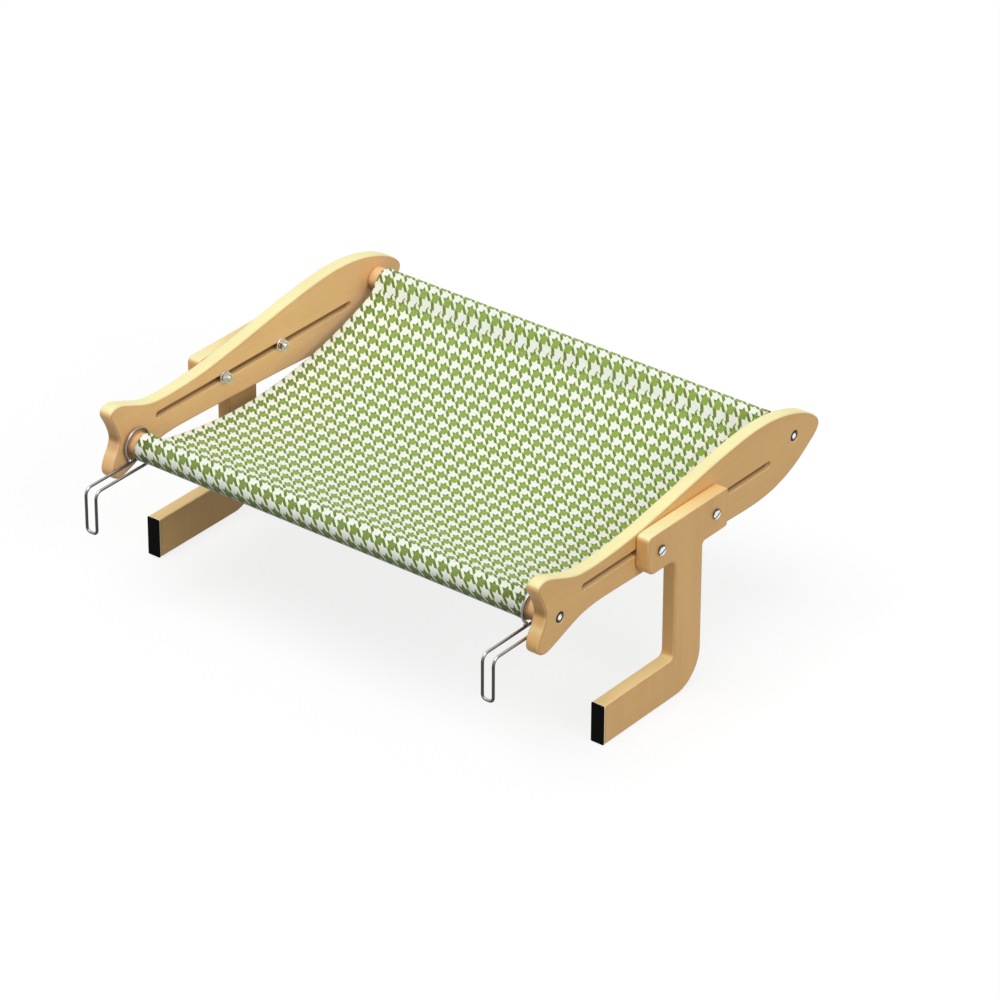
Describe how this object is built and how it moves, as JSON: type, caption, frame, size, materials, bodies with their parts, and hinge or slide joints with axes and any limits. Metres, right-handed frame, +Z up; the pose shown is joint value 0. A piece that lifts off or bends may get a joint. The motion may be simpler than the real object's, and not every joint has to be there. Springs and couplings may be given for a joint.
{
  "type": "cat window hammock",
  "caption": "Small pet hammock: a sagging cloth sling on two dowels between fish-shaped side panels, with sliding brackets and wire hooks.",
  "frame": {"origin": "centre of the bounding box at the height of the feet's undersides", "axes": "+X across the hammock, -Y towards the window, where the wire hooks and the feet point, +Z up"},
  "size_m": [0.4554, 0.3854, 0.1758],
  "materials": {
    "panel_wood": "satin clear lacquer on light birch board, eased edges",
    "bracket_wood": "satin clear lacquer on light birch board, eased edges",
    "dowel_wood": "sanded round rod of light wood",
    "sling_cloth": "matt woven cloth with a green and white houndstooth check",
    "pad_rubber": "matt black soft pad",
    "screw_steel": "bright zinc plate",
    "hook_wire": "bright drawn wire",
    "insert_brass": "plain turned"
  },
  "bodies": {
    "frame": {"left_side_panel": "panel_wood", "right_side_panel": "panel_wood", "front_dowel": "dowel_wood", "back_dowel": "dowel_wood", "sling_fabric": "sling_cloth", "left_front_dowel_screw": "screw_steel", "left_front_dowel_insert": "insert_brass", "left_back_dowel_screw": "screw_steel", "left_back_dowel_insert": "insert_brass", "right_front_dowel_screw": "screw_steel", "right_front_dowel_insert": "insert_brass", "right_back_dowel_screw": "screw_steel", "right_back_dowel_insert": "insert_brass"},
    "left_clamp": {"left_bracket": "bracket_wood", "left_foot_pad": "pad_rubber", "left_front_clamp_bolt": "screw_steel", "left_front_clamp_washer": "screw_steel", "left_front_clamp_nut": "screw_steel", "left_back_clamp_bolt": "screw_steel", "left_back_clamp_washer": "screw_steel", "left_back_clamp_nut": "screw_steel"},
    "right_clamp": {"right_bracket": "bracket_wood", "right_foot_pad": "pad_rubber", "right_front_clamp_bolt": "screw_steel", "right_front_clamp_washer": "screw_steel", "right_front_clamp_nut": "screw_steel", "right_back_clamp_bolt": "screw_steel", "right_back_clamp_washer": "screw_steel", "right_back_clamp_nut": "screw_steel"},
    "left_hook_wire": {"left_hook": "hook_wire"},
    "right_hook_wire": {"right_hook": "hook_wire"}
  },
  "joints": [
    {"name": "left_bracket_slide", "type": "slide", "parent": "frame", "child": "left_clamp", "axis": [0, 1, 0], "range_m": [-0.077, 0.0835]},
    {"name": "right_bracket_slide", "type": "slide", "parent": "frame", "child": "right_clamp", "axis": [0, 1, 0], "range_m": [-0.077, 0.0835]},
    {"name": "left_hook_swing", "type": "hinge", "parent": "frame", "child": "left_hook_wire", "pos_m": [-0.19785, -0.13167, 0.1253], "axis": [1, 0, 0], "range_deg": [-150, 28]},
    {"name": "right_hook_swing", "type": "hinge", "parent": "frame", "child": "right_hook_wire", "pos_m": [0.18785, -0.13167, 0.1253], "axis": [1, 0, 0], "range_deg": [-150, 90]}
  ]
}
